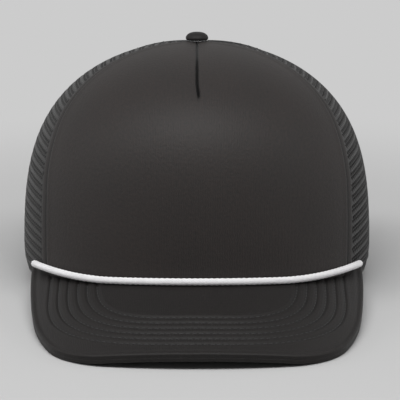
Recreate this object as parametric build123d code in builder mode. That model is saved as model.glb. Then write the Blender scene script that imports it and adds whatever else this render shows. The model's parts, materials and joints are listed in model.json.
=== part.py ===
"""Trucker mesh cap: foam front, mesh sides and back, roped brim and a plastic snap strap.

Millimetres. The cap stands on its brim and the back of its hem, with its front towards -Y.
Most of it is drawn on the head plane, the plane of the hem, which leans back by the tilt that
the brim gives it. Heights, widths and depths below are measured on that plane, from its centre.
"""

import math
import os

from build123d import *

os.makedirs("parts", exist_ok=True)

# ---------------------------------------------------------------------------
# Driving dimensions
# ---------------------------------------------------------------------------

# Crown: half its width, its reach to the front and to the back, and its height over the hem.
crown_side = 92.2
crown_front = 98.0
crown_back = 95.0
crown_height = 119.8

# How square the crown's upright outline is: 2 is an ellipse, more is fuller at the shoulder.
side_fullness = 3.4
front_fullness = 5.0
back_fullness = 2.4

# The hem is drawn in by this much, over this height.
hem_tuck = 2.2
hem_tuck_height = 14.0

# Layers of the crown's wall.
face_thickness = 1.0
foam_thickness = 3.0
mesh_sink = 0.8
mesh_thickness = 0.9
tape_thickness = 0.5
tape_width = 12.0
lamination_gap = 0.05

# The front panel's edge, as reach to the front and height: up the side and over to the button.
panel_edge = [(-48.5, -2.0), (-44.5, 48.0), (-33.5, 82.0), (-12.0, 110.0), (2.0, 121.0)]
side_seam_angle = 30.0

# The mesh is opened by a plain grid, coarser than its cloth and clear of its seams: ribs stand
# all round, and rows start above the sweatband and climb the crown by equal turns.
grid_ribs = 36
grid_rib_width = 4.4
grid_start_angle = 10.5
grid_turn = 7.5
grid_rows = 7
grid_open_share = 0.62
grid_margin = 6.0
grid_bare_radius = 30.0

# The hem rises from beside the ears of the brim to the middle of the front.
hem_rise_start = -20.0
hem_rise = 6.0

# Covered button on the top.
button_radius = 6.1
button_height = 4.6
button_cover_thickness = 0.7
button_post_radius = 1.3
button_back_radius = 8.0
button_back_thickness = 1.0
button_back_gap = 0.3
post_clearance = 0.1

# Sweatband.
sweatband_height = 33.0
sweatband_thickness = 1.4
padding_thickness = 1.2
padding_height = 27.0
sweatband_turn = 1.2

# Brim. It slopes down from the crown, and droops to its sides, more at the ears than in front.
brim_slope = 18.0
brim_root_height = 10.2
ear_reach = 32.0
brim_length = 136.0
droop_half_width = 88.0
slab_overhang = 8.0
ear_droop = 27.5
front_droop = 13.0
# Its outline is a chain of arcs: one across the front, and on each side one round to each of
# these places, given across and along.
brim_front_radius = 260.0
brim_front_half = 45.0
brim_side = [(72.8, 109.5), (81.8, 74.5), (85.8, 0.0)]

# Layers of the brim.
cover_thickness = 0.6
brim_foam_thickness = 1.0
board_thickness = 2.0
cover_wrap = 0.8
brim_edge_gap = 0.2

# Rope along the seam of the brim.
rope_diameter = 3.5
rope_gap = 0.35
rope_points = 25
rope_end_reach = 43.5
rope_bend_share = 0.45

# Arch over the strap at the back, with its folded binding.
arch_half_width = 50.0
arch_height = 58.0
binding_width = 11.0
binding_proud = 0.6
binding_thickness = 3.0

# Snap strap: two straps that overlap in the middle, the outer one with holes, the inner with pegs.
strap_height = 18.0
strap_bottom = 2.5
strap_thickness = 1.3
strap_gap = 0.35
strap_radius = 130.0
strap_tab_length = 22.0
hinge_x = 43.5
tab_clearance = 0.78
strap_clearance = 0.2
strap_end_radius = 5.0
strap_end_margin = 6.0
snap_pitch = 10.0
snap_count = 6
engaged_snaps = 4
hole_radius = 2.7
peg_radius = 1.9
peg_stand_out = 0.9

# ---------------------------------------------------------------------------
# Sizes that follow
# ---------------------------------------------------------------------------

foam_inset = face_thickness + lamination_gap
wall_inset = foam_inset + foam_thickness
mesh_inset = mesh_sink
mesh_back_inset = mesh_sink + mesh_thickness
front_tape_inset = wall_inset + lamination_gap
mesh_tape_inset = mesh_back_inset + lamination_gap
padding_inset = wall_inset + tape_thickness + 2 * lamination_gap
sweatband_inset = padding_inset + padding_thickness + lamination_gap
brim_thickness = 2 * cover_thickness + brim_foam_thickness + board_thickness + 3 * lamination_gap
slope = math.radians(brim_slope)
rope_radius = rope_diameter / 2

# Big enough to reach past the cap from anywhere in it, and how finely its edges are followed.
far = 300.0
edge_steps = 100


def tuck(height):
    """How far the wall is drawn in near the hem."""
    share = max(0.0, 1.0 - height / hem_tuck_height)
    return hem_tuck * share**2


def reach(length, fullness, height, inset):
    """How far the wall stands out at a height, moved in by the inset."""
    rise = max(0.0, height) / (crown_height - inset)
    return (length - inset) * math.sqrt(1.0 - rise**fullness) - tuck(height)


def side_at(height, inset=0.0):
    return reach(crown_side, side_fullness, height, inset)


def front_at(height, inset=0.0):
    return reach(crown_front, front_fullness, height, inset)


def back_at(height, inset=0.0):
    return reach(crown_back, back_fullness, height, inset)


def droop_at(across, along):
    """How far the brim hangs below its ridge at a place on it."""
    here = ear_droop + (front_droop - ear_droop) * along / brim_length
    return here * (across / droop_half_width) ** 2


# The ridge of the brim starts level with the ears, inside the crown.
root_along = (front_at(brim_root_height) - ear_reach) / math.cos(slope)
ridge_height = brim_root_height + root_along * math.sin(slope)


def brim_point(across, along, below=0.0):
    """Depth and height on the head plane of a place on the brim, or below its top."""
    drop = droop_at(across, along) + below
    depth = -ear_reach - along * math.cos(slope) + drop * math.sin(slope)
    height = ridge_height - along * math.sin(slope) - drop * math.cos(slope)
    return depth, height


def brim_outline(inset):
    """Half the brim's outline, drawn in by the inset, as arcs from the front to the ear."""
    narrower = 1.0 - inset / brim_side[-1][0]
    shorter = 1.0 - inset / brim_length
    turn = math.degrees(math.asin(brim_front_half / brim_front_radius))
    arc_centre = (0, brim_length - brim_front_radius)
    arcs = [CenterArc(arc_centre, brim_front_radius - inset, 90, -turn)]
    for across, along in brim_side:
        last = arcs[-1]
        arcs.append(TangentArc(last @ 1, (across * narrower, along * shorter), tangent=last % 1))
    return arcs


# The cap tips until its brim touches what it stands on: the steepest line from the foot of the
# arch to the brim's lower edge gives the tilt.
foot_inset = -binding_proud
foot_share = arch_half_width / side_at(0.0, foot_inset)
foot_depth = back_at(0.0, foot_inset) * math.sqrt(1.0 - foot_share**2)
edge_places = [arc @ (step / edge_steps) for arc in brim_outline(0.0) for step in range(edge_steps + 1)]
lower_edge = [brim_point(place.X, place.Y, brim_thickness) for place in edge_places]
tilt = max(math.atan2(-height, foot_depth - depth) for depth, height in lower_edge)


def row_depth(depth, height):
    return depth * math.cos(tilt) + height * math.sin(tilt)


# The origin lies under the middle of the cap, on the surface that it stands on. The cap ends in
# front at the brim's upper edge, and behind at the top of the arch.
front_end = row_depth(*brim_point(0.0, brim_length))
back_end = row_depth(back_at(arch_height, foot_inset), arch_height)
head = Plane(
    origin=(0, -(front_end + back_end) / 2, foot_depth * math.sin(tilt)),
    x_dir=(1, 0, 0),
    z_dir=(0, math.sin(tilt), math.cos(tilt)),
)
# Upright planes through the middle of the head plane: one faces the side, one the back.
profile_plane = Plane(origin=head.origin, x_dir=head.y_dir, z_dir=head.x_dir)
facing_plane = Plane(origin=head.origin, x_dir=head.x_dir, z_dir=-head.y_dir)

# The brim's own plane: across it to the left, along it to the front, and down through it.
brim_origin = head.from_local_coords(Vector(0, -ear_reach, ridge_height))
brim_along = head.from_local_coords(
    Vector(0, -ear_reach - math.cos(slope), ridge_height - math.sin(slope))
) - brim_origin
brim_plane = Plane(origin=brim_origin, x_dir=(1, 0, 0), z_dir=brim_along.cross(Vector(-1, 0, 0)))


# ---------------------------------------------------------------------------
# Shapes that several pieces share
# ---------------------------------------------------------------------------

# The crown's outline is drawn at these steps of a quarter turn, from the hem to the top.
rising_angles = [10, 22, 35, 48, 60, 70, 79, 86]


def height_at(angle, inset=0.0):
    """How high the wall stands at an angle of the quarter turn from the hem to the top."""
    return (crown_height - inset) * math.sin(math.radians(angle)) ** (2 / 3)


def crown_block(inset):
    """The whole space inside the crown's skin, moved in by the inset."""
    rows = [0.0, hem_tuck_height / 2, hem_tuck_height]
    rows += [height_at(angle, inset) for angle in rising_angles]
    with BuildPart() as block:
        for height in rows:
            side = side_at(height, inset)
            with BuildSketch(head.offset(height)):
                with BuildLine():
                    EllipticalCenterArc((0, 0), side, front_at(height, inset), 180, arc_size=180)
                    EllipticalCenterArc((0, 0), side, back_at(height, inset), 0, arc_size=180)
                make_face()
        loft()
    return block.part


def hem_cut():
    """What the rise of the hem takes off the front of the crown."""
    with BuildPart() as cut:
        with BuildSketch(profile_plane):
            with BuildLine():
                Polyline(
                    (hem_rise_start, 0),
                    (-crown_front, hem_rise),
                    (-far, hem_rise),
                    (-far, -far),
                    (hem_rise_start, -far),
                    close=True,
                )
            make_face()
        extrude(amount=far, both=True)
    return cut.part


def panel_edge_line():
    """The front panel's edge, seen from the side."""
    return Spline(*panel_edge, tangents=[(0, 1), (1, 0.7)])


def front_zone():
    """Everything in front of the front panel's edge."""
    with BuildPart() as zone:
        with BuildSketch(profile_plane):
            with BuildLine():
                edge = panel_edge_line()
                over = edge @ 1 + (0, far)
                under = edge @ 0 - (0, far)
                Polyline(edge @ 1, over, (-far, over.Y), (-far, under.Y), under, edge @ 0)
            make_face()
        extrude(amount=far, both=True)
    return zone.part


def edge_strip():
    """A strip along the front panel's edge, as wide as the tape over it."""
    with BuildPart() as strip:
        with BuildSketch(profile_plane):
            with BuildLine():
                edge = panel_edge_line()
            trace(edge, line_width=tape_width)
        extrude(amount=far, both=True)
    return strip.part


def arch_block(margin):
    """The arch over the strap, widened by the margin, through the back of the crown."""
    with BuildPart() as block:
        with BuildSketch(facing_plane):
            Ellipse(arch_half_width + margin, arch_height + margin)
        extrude(amount=-far)
    return block.part


def side_seam_plane(side):
    """The upright plane of the seam between a side panel and a back panel, facing the front."""
    angle = math.radians(side_seam_angle)
    return Plane(
        origin=head.origin,
        x_dir=head.z_dir,
        z_dir=head.x_dir * (side * math.sin(angle)) - head.y_dir * math.cos(angle),
    )


def seam_strip(plane):
    """A strip along an upright seam, as wide as the tape over it."""
    with BuildPart() as strip:
        with BuildSketch(plane):
            Rectangle(2 * far, 2 * far)
        extrude(amount=tape_width / 2, both=True)
    return strip.part


def mesh_openings():
    """What opens the mesh, between its ribs and clear of every seam."""
    with BuildPart() as openings:
        for row in range(grid_rows):
            start = grid_start_angle + row * grid_turn
            low = height_at(start)
            with BuildSketch(head.offset(low)):
                Circle(far)
                Circle(grid_bare_radius, mode=Mode.SUBTRACT)
                with PolarLocations(far / 2, grid_ribs):
                    Rectangle(far, grid_rib_width, mode=Mode.SUBTRACT)
            extrude(amount=height_at(start + grid_turn * grid_open_share) - low)
        add(front_zone(), mode=Mode.SUBTRACT)
        add(edge_strip(), mode=Mode.SUBTRACT)
        add(arch_block(binding_width + grid_margin), mode=Mode.SUBTRACT)
        for plane in (side_seam_plane(1), side_seam_plane(-1), profile_plane):
            add(seam_strip(plane), mode=Mode.SUBTRACT)
    return openings.part


def post_bore():
    """The hole for the button's post."""
    with BuildPart() as bore:
        with BuildSketch(head):
            Circle(button_post_radius + post_clearance)
        extrude(amount=far)
    return bore.part


def band_space(height):
    """Everything from the hem up to a height."""
    with BuildPart() as space:
        with BuildSketch(head):
            Rectangle(2 * far, 2 * far)
        extrude(amount=height)
    return space.part


# ---------------------------------------------------------------------------
# Crown
# ---------------------------------------------------------------------------

crown_outer = crown_block(0.0)
face_back = crown_block(face_thickness)
foam_front = crown_block(foam_inset)
foam_back = crown_block(wall_inset)
mesh_front = crown_block(mesh_inset)
mesh_back = crown_block(mesh_back_inset)
front_space = front_zone()
hem_waste = hem_cut()
button_bore = post_bore()
arch_space = arch_block(0.0)
binding_space = arch_block(binding_width)

# The front panel is cloth laminated to foam.
with BuildPart() as front_face:
    add(crown_outer)
    add(face_back, mode=Mode.SUBTRACT)
    add(front_space, mode=Mode.INTERSECT)
    add(hem_waste, mode=Mode.SUBTRACT)
    add(button_bore, mode=Mode.SUBTRACT)

with BuildPart() as front_foam:
    add(foam_front)
    add(foam_back, mode=Mode.SUBTRACT)
    add(front_space, mode=Mode.INTERSECT)
    add(hem_waste, mode=Mode.SUBTRACT)
    add(button_bore, mode=Mode.SUBTRACT)

# The mesh behind it is cut into four panels, two on each side.
with BuildPart() as mesh_wall:
    add(mesh_front)
    add(mesh_back, mode=Mode.SUBTRACT)
    add(front_space, mode=Mode.SUBTRACT)
    add(hem_waste, mode=Mode.SUBTRACT)
    add(button_bore, mode=Mode.SUBTRACT)
    add(binding_space, mode=Mode.SUBTRACT)
    add(mesh_openings(), mode=Mode.SUBTRACT)


def half_keep(side):
    return Keep.TOP if side > 0 else Keep.BOTTOM


mesh_panels = {}
for name, side in (("left", 1), ("right", -1)):
    for place, keep in (("side", Keep.TOP), ("back", Keep.BOTTOM)):
        with BuildPart() as mesh_panel:
            add(mesh_wall.part)
            split(bisect_by=profile_plane, keep=half_keep(side))
            split(bisect_by=side_seam_plane(side), keep=keep)
        mesh_panels[f"{place}_mesh_{name}"] = mesh_panel

# Tapes cover the seams inside. The front one runs from hem to hem over the top.
with BuildPart() as front_seam_tape:
    add(crown_block(front_tape_inset))
    add(crown_block(front_tape_inset + tape_thickness), mode=Mode.SUBTRACT)
    add(edge_strip(), mode=Mode.INTERSECT)
    add(hem_waste, mode=Mode.SUBTRACT)
    add(button_bore, mode=Mode.SUBTRACT)

with BuildPart() as mesh_tape_wall:
    add(crown_block(mesh_tape_inset))
    add(crown_block(mesh_tape_inset + tape_thickness), mode=Mode.SUBTRACT)
    add(binding_space, mode=Mode.SUBTRACT)
    add(band_space(sweatband_turn + lamination_gap), mode=Mode.SUBTRACT)
    with BuildSketch(head):
        Circle(button_back_radius + tape_width / 2)
    extrude(amount=far, mode=Mode.SUBTRACT)

side_tapes = {}
for name, side in (("left", 1), ("right", -1)):
    with BuildPart() as side_tape:
        add(mesh_tape_wall.part)
        split(bisect_by=profile_plane, keep=half_keep(side))
        split(bisect_by=side_seam_plane(side).offset(tape_width / 2), keep=Keep.BOTTOM)
        split(bisect_by=side_seam_plane(side).offset(-tape_width / 2), keep=Keep.TOP)
    side_tapes[name] = side_tape

with BuildPart() as back_seam_tape:
    add(mesh_tape_wall.part)
    split(bisect_by=profile_plane.offset(tape_width / 2), keep=Keep.BOTTOM)
    split(bisect_by=profile_plane.offset(-tape_width / 2), keep=Keep.TOP)
    split(bisect_by=facing_plane, keep=Keep.BOTTOM)

# ---------------------------------------------------------------------------
# Button: a cloth-covered dome with a post, clenched on a plate under the crown
# ---------------------------------------------------------------------------

button_seat = crown_height
plate_top = crown_height - front_tape_inset - tape_thickness - button_back_gap
shell_radius = button_radius - button_cover_thickness
shell_height = button_height - button_cover_thickness


def dome(radius, height):
    """Half the outline of a round cap on the crown, on the side of the middle plane."""
    sink = (radius**2 - height**2) / (2 * height)
    ball = height + sink
    rim = math.degrees(math.atan2(sink, radius))
    Line((0, button_seat), (radius, button_seat))
    CenterArc((0, button_seat - sink), ball, rim, 90 - rim)
    Line((0, button_seat + height), (0, button_seat))


with BuildPart() as button_shell:
    with BuildSketch(facing_plane):
        with BuildLine():
            dome(shell_radius, shell_height)
        make_face()
        with Locations((button_post_radius / 2, (button_seat + plate_top) / 2)):
            Rectangle(button_post_radius, button_seat - plate_top + 2 * button_back_thickness)
    revolve(axis=Axis(head.origin, head.z_dir))

with BuildPart() as button_cover:
    with BuildSketch(facing_plane):
        with BuildLine():
            dome(button_radius, button_height)
        make_face()
        with BuildLine():
            dome(shell_radius + lamination_gap, shell_height + lamination_gap)
        make_face(mode=Mode.SUBTRACT)
    revolve(axis=Axis(head.origin, head.z_dir))

with BuildPart() as button_back:
    with BuildSketch(head.offset(plate_top - button_back_thickness)):
        Circle(button_back_radius)
        Circle(button_post_radius + post_clearance, mode=Mode.SUBTRACT)
    extrude(amount=button_back_thickness)

# ---------------------------------------------------------------------------
# Sweatband
# ---------------------------------------------------------------------------

with BuildPart() as sweatband_wall:
    add(crown_block(sweatband_inset))
    add(crown_block(sweatband_inset + sweatband_thickness), mode=Mode.SUBTRACT)
    add(band_space(sweatband_height), mode=Mode.INTERSECT)
    add(hem_waste, mode=Mode.SUBTRACT)
    add(binding_space, mode=Mode.SUBTRACT)

# Its lower edge turns out to the mesh and is sewn there.
with BuildPart() as sweatband_edge:
    add(crown_block(mesh_back_inset + lamination_gap))
    add(crown_block(sweatband_inset + sweatband_thickness / 2), mode=Mode.SUBTRACT)
    add(band_space(sweatband_turn), mode=Mode.INTERSECT)
    add(binding_space, mode=Mode.SUBTRACT)
    with BuildSketch(profile_plane):
        with Locations((hem_rise_start + far / 2, 0)):
            Rectangle(far, far)
    extrude(amount=far, both=True, mode=Mode.INTERSECT)

with BuildPart() as sweatband:
    add(sweatband_wall.part)
    add(sweatband_edge.part)

with BuildPart() as sweatband_padding:
    add(crown_block(padding_inset))
    add(crown_block(padding_inset + padding_thickness), mode=Mode.SUBTRACT)
    add(band_space(padding_height), mode=Mode.INTERSECT)
    add(front_space, mode=Mode.INTERSECT)
    add(hem_waste, mode=Mode.SUBTRACT)

# ---------------------------------------------------------------------------
# Brim
# ---------------------------------------------------------------------------


def drooping_arc(half, drop, below):
    """A parabola that hangs by the drop at both ends, at a depth below the brim's top."""
    return Bezier((-half, -drop - below), (0, drop - below), (half, -drop - below))


def brim_slab(top, bottom):
    """A sheet with the brim's droop, between two depths below its top."""
    half = droop_half_width + slab_overhang
    with BuildPart() as slab:
        for along in (0.0, brim_length + slab_overhang):
            edge_drop = droop_at(half, along)
            profile = Plane(
                origin=brim_plane.from_local_coords(Vector(0, along, 0)),
                x_dir=(1, 0, 0),
                z_dir=brim_plane.y_dir,
            )
            with BuildSketch(profile):
                with BuildLine():
                    upper = drooping_arc(half, edge_drop, top)
                    lower = drooping_arc(half, edge_drop, bottom)
                    Line(upper @ 0, lower @ 0)
                    Line(upper @ 1, lower @ 1)
                make_face()
        loft(ruled=True)
    return slab.part


def brim_blank(inset):
    """The brim's outline, drawn in by the inset, as a tall block."""
    with BuildPart() as blank:
        with BuildSketch(brim_plane.offset(-far / 2)):
            with BuildLine():
                arcs = brim_outline(inset)
                Polyline(arcs[-1] @ 1, (0, 0), arcs[0] @ 0)
            make_face()
            mirror(about=Plane.YZ)
        extrude(amount=far)
    return blank.part


outline_block = brim_blank(0.0)
inner_block = brim_blank(cover_wrap + brim_edge_gap)
wrap_block = brim_blank(cover_wrap)
crown_seat = crown_block(-lamination_gap)
foam_top = cover_thickness + lamination_gap
board_top = foam_top + brim_foam_thickness + lamination_gap
under_top = board_top + board_thickness + lamination_gap
cover_joint = brim_thickness / 2


def brim_layer(top, bottom, blank):
    """A layer of the brim between two depths, cut to a blank and fitted to the crown."""
    with BuildPart() as layer:
        add(brim_slab(top, bottom))
        add(blank, mode=Mode.INTERSECT)
        add(crown_seat, mode=Mode.SUBTRACT)
    return layer.part


with BuildPart() as brim_foam:
    add(brim_layer(foam_top, foam_top + brim_foam_thickness, inner_block))

with BuildPart() as brim_board:
    add(brim_layer(board_top, board_top + board_thickness, inner_block))

# The covers wrap the edge and meet halfway down it.
with BuildPart() as brim_top_cover:
    add(brim_layer(0.0, cover_joint, outline_block))
    add(brim_layer(cover_thickness, brim_thickness, wrap_block), mode=Mode.SUBTRACT)

with BuildPart() as brim_under_cover:
    add(brim_layer(cover_joint, brim_thickness, outline_block))
    add(brim_layer(-cover_thickness, under_top, wrap_block), mode=Mode.SUBTRACT)

# ---------------------------------------------------------------------------
# Rope: straight runs joined by arcs, in the corner between the brim and the crown
# ---------------------------------------------------------------------------

rope_stand_off = rope_radius + rope_gap
seam_rounds = 30


def seam_point(angle):
    """Where the rope's middle runs, as a place on the head plane, at an angle from the front."""
    height = brim_root_height
    along = root_along
    for _ in range(seam_rounds):
        across = side_at(height, -rope_stand_off) * math.sin(angle)
        depth = -front_at(height, -rope_stand_off) * math.cos(angle)
        along = (-ear_reach - depth + droop_at(across, along) * math.sin(slope)) / math.cos(slope)
        height = brim_point(across, along)[1] + rope_stand_off
    return Vector(across, depth, height)


rope_end_angle = math.acos(rope_end_reach / (crown_front + rope_stand_off))
rope_angles = [rope_end_angle * (2 * step / (rope_points - 1) - 1) for step in range(rope_points)]
rope_route = [head.from_local_coords(seam_point(angle)) for angle in rope_angles]
rope_radii = []
for before, corner, after in zip(rope_route, rope_route[1:], rope_route[2:]):
    shorter = min((corner - before).length, (after - corner).length)
    half_turn = math.radians((corner - before).get_angle(after - corner)) / 2
    rope_radii.append(rope_bend_share * shorter / math.tan(half_turn))

with BuildPart() as brim_rope:
    with BuildLine() as rope_line:
        FilletPolyline(*rope_route, radius=rope_radii)
    with BuildSketch(Plane(origin=rope_line.line @ 0, z_dir=rope_line.line % 0)):
        Circle(rope_radius)
    sweep()

rope_length = sum(edge.length for edge in rope_line.edges())
rope_share = brim_rope.part.volume / (math.pi * rope_radius**2 * rope_length)
print("rope length", round(rope_length, 1), "volume over section times length", round(rope_share, 4))

# ---------------------------------------------------------------------------
# Arch binding and snap strap
# ---------------------------------------------------------------------------

with BuildPart() as opening_binding:
    add(crown_block(-binding_proud))
    add(crown_block(binding_thickness - binding_proud), mode=Mode.SUBTRACT)
    add(arch_block(binding_width - lamination_gap), mode=Mode.INTERSECT)
    add(arch_space, mode=Mode.SUBTRACT)

hole_tab_inset = binding_thickness - binding_proud + strap_gap
peg_tab_inset = hole_tab_inset + strap_thickness + strap_gap
strap_middle = strap_bottom + strap_height / 2
end_place = (engaged_snaps - 1) / 2 * snap_pitch + strap_end_margin

# Both straps bend round one centre. The outer one's outer face leads on from its tab.
root_side = side_at(strap_middle, hole_tab_inset)
root_depth = back_at(strap_middle, hole_tab_inset) * math.sqrt(1.0 - (hinge_x / root_side) ** 2)
strap_centre = root_depth - math.sqrt(strap_radius**2 - hinge_x**2)
hole_face = strap_radius
peg_face = strap_radius - strap_thickness - strap_gap


def strap_tab(side, inset):
    """The sewn end of a strap, flat against the inside of the crown beside the arch."""
    inner_end = hinge_x + tab_clearance
    with BuildPart() as tab:
        add(crown_block(inset))
        add(crown_block(inset + strap_thickness), mode=Mode.SUBTRACT)
        with BuildSketch(head.offset(strap_bottom)):
            with Locations((side * (inner_end + strap_tab_length / 2), far / 2)):
                Rectangle(strap_tab_length, far)
        extrude(amount=strap_height, mode=Mode.INTERSECT)
    return tab.part


def strap_blank(side, face):
    """The free part of a strap, from its hinge past the middle, with a rounded end."""
    root_angle = math.degrees(math.asin((hinge_x - strap_clearance) / face))
    end_angle = math.degrees(end_place / face)
    start = 90 - root_angle if side > 0 else 90 - end_angle
    back = face - strap_thickness
    with BuildPart() as strap:
        with BuildSketch(head.offset(strap_bottom)):
            with BuildLine():
                outer = CenterArc((0, strap_centre), face, start, root_angle + end_angle)
                inner = CenterArc((0, strap_centre), back, start, root_angle + end_angle)
                Line(outer @ 0, inner @ 0)
                Line(outer @ 1, inner @ 1)
            make_face()
        extrude(amount=strap_height)
        corners = strap.edges().group_by(SortBy.LENGTH)[0].sort_by(Axis.X)
        fillet(corners[:2] if side > 0 else corners[-2:], strap_end_radius)
    return strap.part


def snap_plane(place, face):
    """The plane of one snap on a strap's face, at a place round it from the middle."""
    angle = place / hole_face
    outward = head.x_dir * math.sin(angle) + head.y_dir * math.cos(angle)
    centre = head.from_local_coords(Vector(0, strap_centre, strap_middle))
    return Plane(origin=centre + outward * face, x_dir=head.z_dir, z_dir=outward)


peg_root = strap_thickness / 2
first_snap = -(engaged_snaps - 1) / 2 * snap_pitch
snap_places = [first_snap + step * snap_pitch for step in range(snap_count)]

with BuildPart() as hole_strap_tab:
    add(strap_tab(1, hole_tab_inset))

with BuildPart() as peg_strap_tab:
    add(strap_tab(-1, peg_tab_inset))

with BuildPart() as hole_strap:
    add(strap_blank(1, hole_face))
    for place in snap_places:
        with BuildSketch(snap_plane(place, hole_face)):
            Circle(hole_radius)
        extrude(amount=2 * strap_thickness, both=True, mode=Mode.SUBTRACT)

with BuildPart() as peg_strap:
    add(strap_blank(-1, peg_face))
    for place in snap_places:
        with BuildSketch(snap_plane(-place, peg_face - peg_root)):
            Circle(peg_radius)
        extrude(amount=peg_root + strap_gap + strap_thickness + peg_stand_out)

hole_hinge = head.from_local_coords(Vector(hinge_x, root_depth - strap_thickness / 2, strap_middle))
peg_root_depth = strap_centre + math.sqrt(peg_face**2 - hinge_x**2)
peg_hinge = head.from_local_coords(Vector(-hinge_x, peg_root_depth - strap_thickness / 2, strap_middle))
print("strap hinges", hole_hinge, peg_hinge, "along", head.z_dir)

# ---------------------------------------------------------------------------
# Files
# ---------------------------------------------------------------------------

pieces = {
    "front_face": front_face,
    "front_foam": front_foam,
    "front_seam_tape": front_seam_tape,
    "side_seam_tape_left": side_tapes["left"],
    "side_seam_tape_right": side_tapes["right"],
    "back_seam_tape": back_seam_tape,
    "button_cover": button_cover,
    "button_shell": button_shell,
    "button_back": button_back,
    "sweatband": sweatband,
    "sweatband_padding": sweatband_padding,
    "brim_board": brim_board,
    "brim_foam": brim_foam,
    "brim_top_cover": brim_top_cover,
    "brim_under_cover": brim_under_cover,
    "brim_rope": brim_rope,
    "opening_binding": opening_binding,
    "hole_strap_tab": hole_strap_tab,
    "hole_strap": hole_strap,
    "peg_strap_tab": peg_strap_tab,
    "peg_strap": peg_strap,
}
pieces.update(mesh_panels)

for name, piece in pieces.items():
    piece.part.label = name
    export_step(piece.part, f"parts/{name}.step")
    solids = len(piece.part.solids())
    print(name, "solids", solids, "volume", round(piece.part.volume), "valid", piece.part.is_valid)
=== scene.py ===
"""Looks of the trucker cap: knitted cloth over foam, netted mesh, quilted brim, braided rope."""

import json
import math

import bmesh
import bpy
import numpy as np
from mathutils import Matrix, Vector


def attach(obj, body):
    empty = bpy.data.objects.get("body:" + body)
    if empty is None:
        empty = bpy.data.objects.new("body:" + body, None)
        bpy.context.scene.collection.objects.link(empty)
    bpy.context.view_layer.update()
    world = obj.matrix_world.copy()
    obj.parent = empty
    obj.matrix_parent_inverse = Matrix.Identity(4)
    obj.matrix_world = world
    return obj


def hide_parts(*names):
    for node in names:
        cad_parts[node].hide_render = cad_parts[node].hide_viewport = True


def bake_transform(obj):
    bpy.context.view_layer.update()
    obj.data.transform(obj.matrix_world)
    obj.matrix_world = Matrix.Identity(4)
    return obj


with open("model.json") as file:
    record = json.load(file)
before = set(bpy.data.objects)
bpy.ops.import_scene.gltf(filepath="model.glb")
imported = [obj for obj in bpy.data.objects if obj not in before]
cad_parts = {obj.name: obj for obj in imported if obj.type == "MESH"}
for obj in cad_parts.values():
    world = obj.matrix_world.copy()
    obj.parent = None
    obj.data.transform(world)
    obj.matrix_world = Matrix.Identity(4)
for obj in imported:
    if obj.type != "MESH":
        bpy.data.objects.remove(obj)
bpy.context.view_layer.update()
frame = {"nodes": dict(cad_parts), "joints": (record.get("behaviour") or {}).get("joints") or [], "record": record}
mm = 0.001

# The cap's own measures, in millimetres on the head plane: the plane of its hem

head_mount = frame["record"]["mounts"][0]
head_origin = Vector(head_mount["pos_m"])
head_up = -Vector(frame["joints"][0]["axis"])
head_back = head_up.cross(Vector((1, 0, 0)))

crown_side = 92.2
crown_front = 98.0
crown_back = 95.0
crown_height = 119.8
side_fullness = 3.4
front_fullness = 5.0
back_fullness = 2.4
hem_tuck = 2.2
hem_tuck_height = 14.0
hem_rise_start = 20.0
hem_rise = 6.0
panel_edge = [(-48.5, -2.0), (-44.5, 48.0), (-33.5, 82.0), (-12.0, 110.0), (2.0, 121.0)]
side_seam_angle = 120.0
arch_half_width = 50.0
arch_height = 58.0
binding_width = 11.0
brim_slope = math.radians(18.0)
brim_root_height = 10.2
ear_reach = 32.0
brim_length = 136.0
brim_thickness = 4.35
droop_half_width = 88.0
ear_droop = 27.5
front_droop = 13.0
brim_front_radius = 260.0
brim_front_half = 45.0
brim_side = [(72.8, 109.5), (81.8, 74.5), (85.8, 0.0)]
rope_radius = 1.75
rope_gap = 0.35
rope_end_reach = 43.5
rope_end_lift = 3.6
rope_lift_start = 0.42
dart_end_height = 100.0
dart_groove = 2.6


def smooth(low, high, value):
    """Rises smoothly from 0 at low to 1 at high."""
    share = np.clip((value - low) / (high - low), 0.0, 1.0)
    return share * share * (3 - 2 * share)


def hump(value, width):
    """A smooth hump about 0, of the given half width."""
    return np.exp(-((value / width) ** 2))


def to_frame(across, depth, height):
    """Places on the head plane, in millimetres, as rows of points in the frame, in metres."""
    across, depth, height = np.broadcast_arrays(across, depth, height)
    points = np.zeros((across.size, 3))
    points[:, 0] = across.ravel()
    points += np.outer(depth.ravel(), head_back) + np.outer(height.ravel(), head_up)
    return points * mm + np.array(head_origin)


def reach(length, fullness, rise, inset):
    """How far the crown's wall stands out at a share of its height, moved in by an inset."""
    height = rise * (crown_height - inset)
    tuck = hem_tuck * np.clip(1 - height / hem_tuck_height, 0, 1) ** 2
    return (length - inset) * np.sqrt(1 - np.clip(rise, 0, 1) ** fullness) - tuck


def crown_point(angle, rise, inset=0.0):
    """A place on the crown: the angle from the middle of the front, and the share of its height."""
    side = reach(crown_side, side_fullness, rise, inset)
    front = reach(crown_front, front_fullness, rise, inset)
    back = reach(crown_back, back_fullness, rise, inset)
    along = np.where(np.cos(angle) > 0, front, back)
    return to_frame(side * np.sin(angle), -along * np.cos(angle), rise * (crown_height - inset))


def back_point(across, height, inset=0.0):
    """A place on the back of the crown, straight behind a place on an upright plane."""
    rise = height / (crown_height - inset)
    side = reach(crown_side, side_fullness, rise, inset)
    back = reach(crown_back, back_fullness, rise, inset)
    return to_frame(across, back * np.sqrt(1 - np.clip(across / side, -1, 1) ** 2), height)


class Climb:
    """The way up the crown along one upright line, measured along the cloth."""

    def __init__(self, length, fullness):
        turn = np.radians(np.linspace(0, 88.6, 900))
        self.rise = np.sin(turn) ** (2 / 3)
        out = reach(length, fullness, self.rise, 0.0)
        steps = np.hypot(np.diff(out), np.diff(self.rise * crown_height))
        self.length = np.concatenate([[0], np.cumsum(steps)])

    def rise_at(self, length):
        return np.interp(length, self.length, self.rise)

    def length_at(self, height):
        return np.interp(height / crown_height, self.rise, self.length)


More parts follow.
